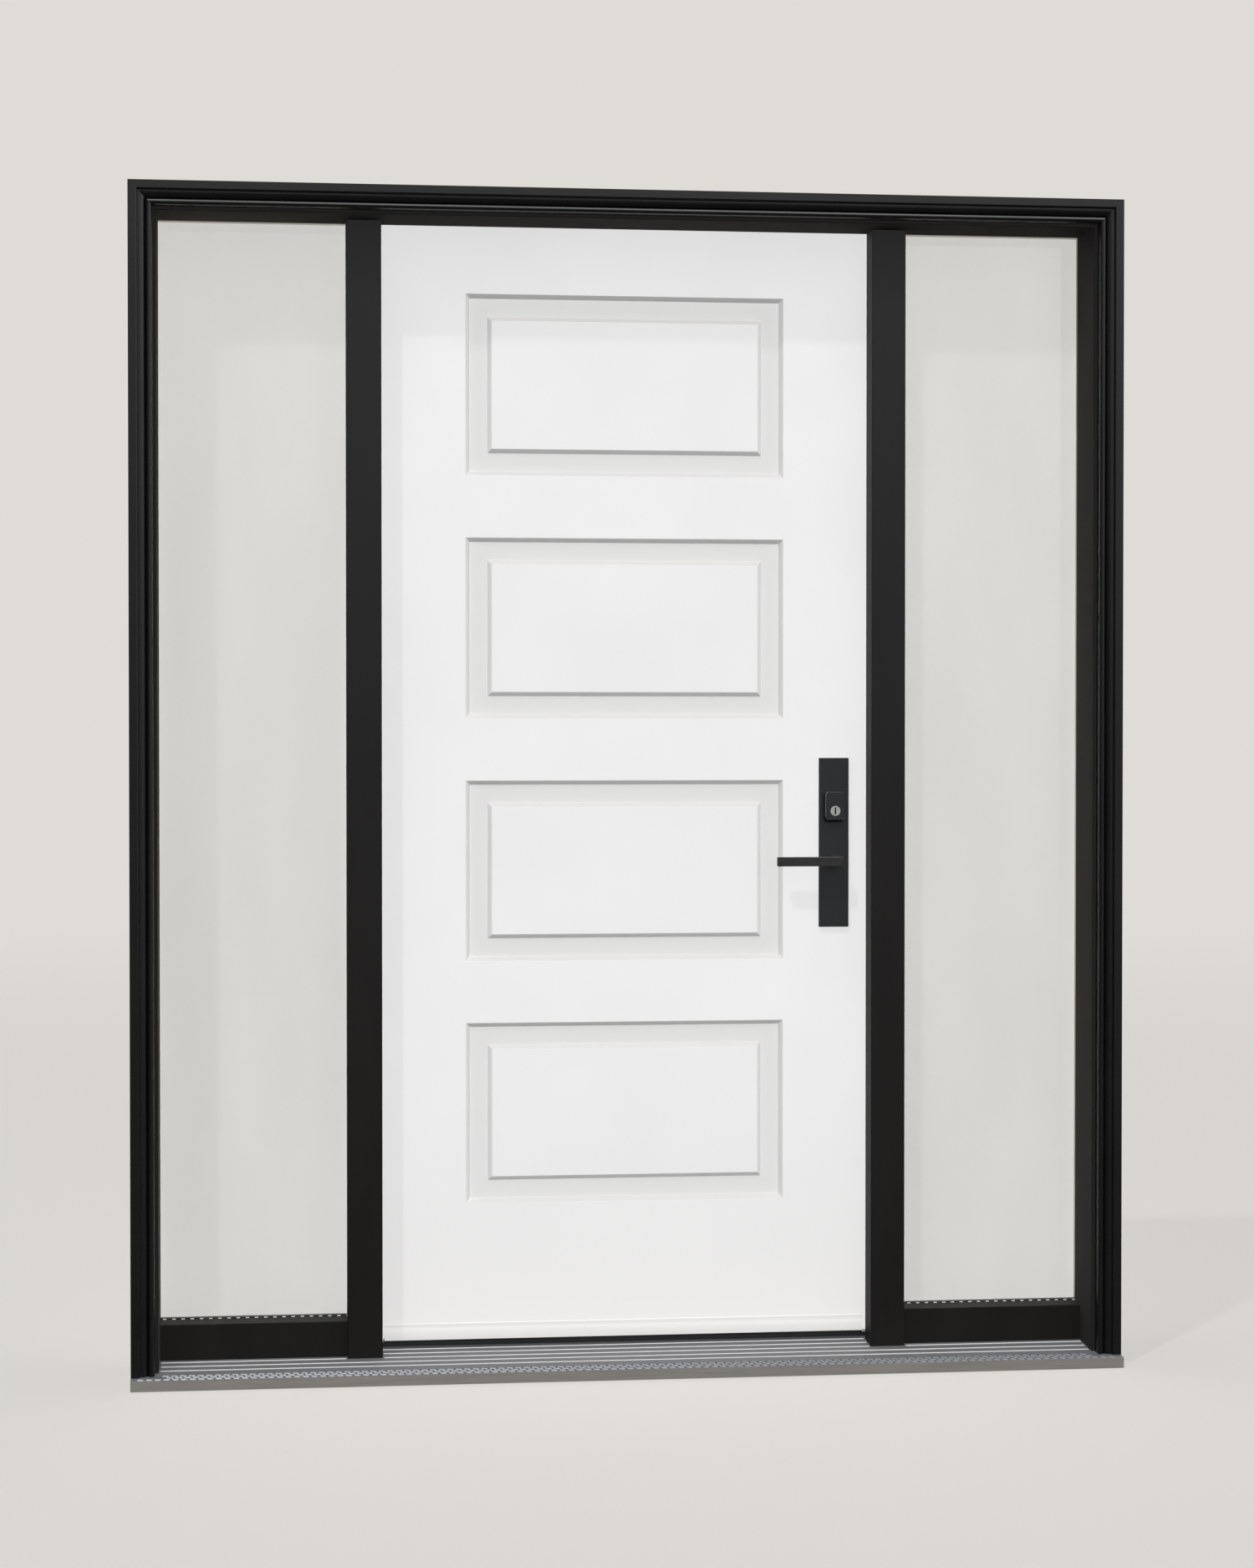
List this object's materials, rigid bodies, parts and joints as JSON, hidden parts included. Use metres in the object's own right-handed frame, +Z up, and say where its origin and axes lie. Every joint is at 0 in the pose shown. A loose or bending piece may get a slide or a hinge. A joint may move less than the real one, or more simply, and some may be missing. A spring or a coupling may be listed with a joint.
{
  "type": "entrance door with sidelights",
  "caption": "White raised-panel entrance door hung in a black rabbeted frame with fixed glazed sidelights, ribbed sill, lever handles and a key lock; the door swings inward.",
  "frame": {"origin": "on the underside of the sill, midway along it, in the plane of the wall's outer face", "axes": "+X to the lock side seen from outside, +Y from outside to inside, +Z up"},
  "size_m": [1.7866, 0.2734, 2.1216],
  "materials": {
    "frame_black": "satin black paint on rabbeted composite wood",
    "sill_nosing_grey": "matte warm grey composite",
    "sill_aluminium": "mill finish, ribbed",
    "threshold_dark": "dark composite cap",
    "satin_glass": "satin privacy glass",
    "spacer_metal": "perforated spacer bar",
    "seal_rubber": "black foam and rubber seal",
    "door_white": "satin white paint on pressed skin",
    "sweep_white": "white extruded plastic",
    "core_foam": "rigid foam, hidden",
    "hinge_black": "matte black coated steel",
    "lockset_black": "matte black coated metal",
    "lock_steel": "satin steel",
    "plug_nickel": "satin nickel"
  },
  "bodies": {
    "frame": {"sill_base": "sill_nosing_grey", "sill_deck": "sill_aluminium", "threshold": "threshold_dark", "left_jamb": "frame_black", "right_jamb": "frame_black", "head_jamb": "frame_black", "left_mullion": "frame_black", "right_mullion": "frame_black", "left_moulding": "frame_black", "right_moulding": "frame_black", "head_moulding": "frame_black", "left_sidelight_rail": "frame_black", "right_sidelight_rail": "frame_black", "left_outer_pane": "satin_glass", "right_outer_pane": "satin_glass", "left_inner_pane": "satin_glass", "right_inner_pane": "satin_glass", "left_glass_spacer": "spacer_metal", "right_glass_spacer": "spacer_metal", "left_glazing_beads": "frame_black", "right_glazing_beads": "frame_black", "weatherstrips": "seal_rubber", "strike_plate": "lock_steel", "hinge_frame_leaves": "hinge_black", "hinge_pins": "hinge_black"},
    "door": {"outside_skin": "door_white", "inside_skin": "door_white", "door_core": "core_foam", "hinge_stile": "door_white", "lock_stile": "door_white", "top_rail": "door_white", "bottom_rail": "door_white", "sweep_carrier": "sweep_white", "sweep_seal": "seal_rubber", "hinge_door_leaves": "hinge_black", "outside_plate": "lockset_black", "inside_plate": "lockset_black", "cylinder_housing": "lockset_black", "lock_edge_plate": "lock_steel", "lock_bolts": "lock_steel"},
    "lever": {"outside_lever": "lockset_black", "inside_lever": "lockset_black", "lever_spindle": "lockset_black"},
    "key": {"key_plug": "plug_nickel", "thumb_turn": "lockset_black"}
  },
  "joints": [
    {"name": "door_swing", "type": "hinge", "parent": "frame", "child": "door", "pos_m": [-0.4595, 0.1747, 1], "axis": [0, 0, 1], "range_deg": [0, 110]},
    {"name": "lever_turn", "type": "hinge", "parent": "door", "child": "lever", "pos_m": [0.387, 0.1222, 0.919], "axis": [0, -1, 0], "range_deg": [0, 45], "stiffness_Nm_per_rad": 2, "springref_deg": -34.38},
    {"name": "key_turn", "type": "hinge", "parent": "door", "child": "key", "pos_m": [0.387, 0.1222, 1.011], "axis": [0, 1, 0], "range_deg": [0, 90]}
  ]
}
